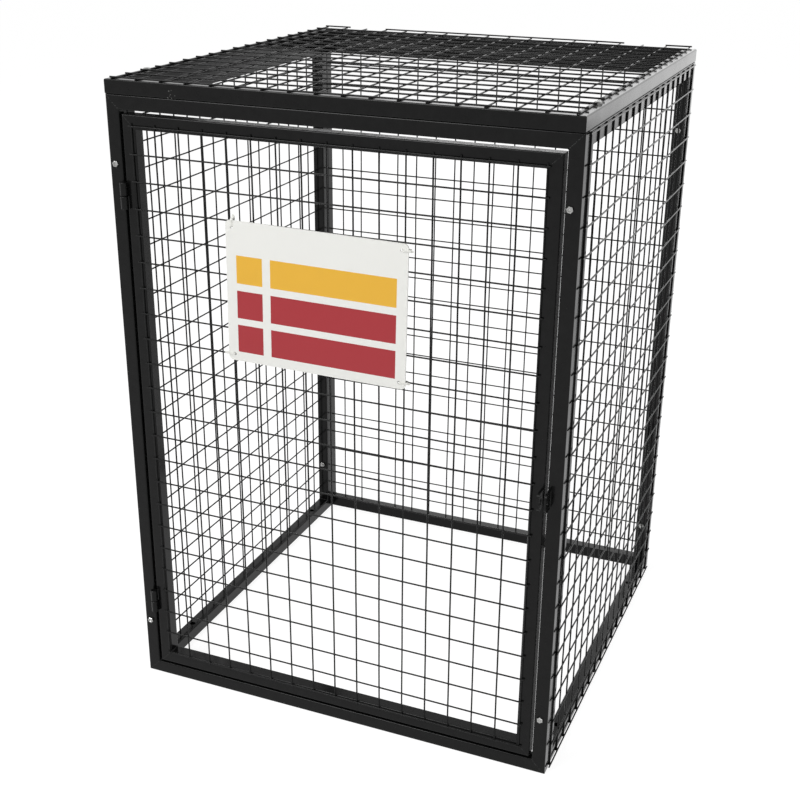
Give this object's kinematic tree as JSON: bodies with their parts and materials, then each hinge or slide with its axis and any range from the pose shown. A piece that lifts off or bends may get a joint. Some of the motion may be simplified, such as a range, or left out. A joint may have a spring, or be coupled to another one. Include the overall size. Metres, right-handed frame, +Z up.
{
  "type": "gas cylinder cage",
  "caption": "Square cage of bolted black tube frames and welded wire mesh with a flat mesh lid and a hinged front door closed by a padlock, for standing gas cylinders",
  "frame": {"origin": "centre of the overall box in plan, on the floor the cage stands on", "axes": "+Z up, +X to the right as seen by someone facing the door, -Y out of the door"},
  "size_m": [1.011, 1.0364, 1.4155],
  "materials": {
    "frame_black": "gloss black paint on steel tube",
    "mesh_black": "gloss black paint on welded steel wire",
    "fitting_black": "gloss black paint over welded steel fittings",
    "sign_plastic": "white plastic sheet"
  },
  "bodies": {
    "cage": {"back_mesh_lower": "mesh_black", "back_mesh_upper": "mesh_black", "back_post_left": "frame_black", "back_post_right": "frame_black", "back_rail_bottom": "frame_black", "back_rail_top": "frame_black", "front_post_left": "frame_black", "front_post_right": "frame_black", "front_rail_bottom": "frame_black", "front_rail_top": "frame_black", "left_mesh_lower": "mesh_black", "left_mesh_upper": "mesh_black", "left_post_front": "frame_black", "left_post_rear": "frame_black", "left_rail_bottom": "frame_black", "left_rail_top": "frame_black", "lid_mesh": "mesh_black", "lid_rail_front": "frame_black", "lid_rail_left": "frame_black", "lid_rail_rear": "frame_black", "lid_rail_right": "frame_black", "lower_hinge_frame_knuckle": "fitting_black", "padlock_eye_frame": "fitting_black", "right_mesh_lower": "mesh_black", "right_mesh_upper": "mesh_black", "right_post_front": "frame_black", "right_post_rear": "frame_black", "right_rail_bottom": "frame_black", "right_rail_top": "frame_black", "upper_hinge_frame_knuckle": "fitting_black"},
    "door": {"door_rail_bottom": "frame_black", "door_stile_right": "frame_black", "door_rail_top": "frame_black", "door_stile_left": "frame_black", "door_mesh": "mesh_black", "upper_hinge_door_knuckle": "fitting_black", "lower_hinge_door_knuckle": "fitting_black", "padlock_eye_door": "fitting_black", "sign_plate": "sign_plastic"}
  },
  "joints": [
    {"name": "door_hinge", "type": "hinge", "parent": "cage", "child": "door", "pos_m": [-0.467, -0.49483, 0.69], "axis": [0, 0, -1], "range_deg": [0, 170]}
  ]
}
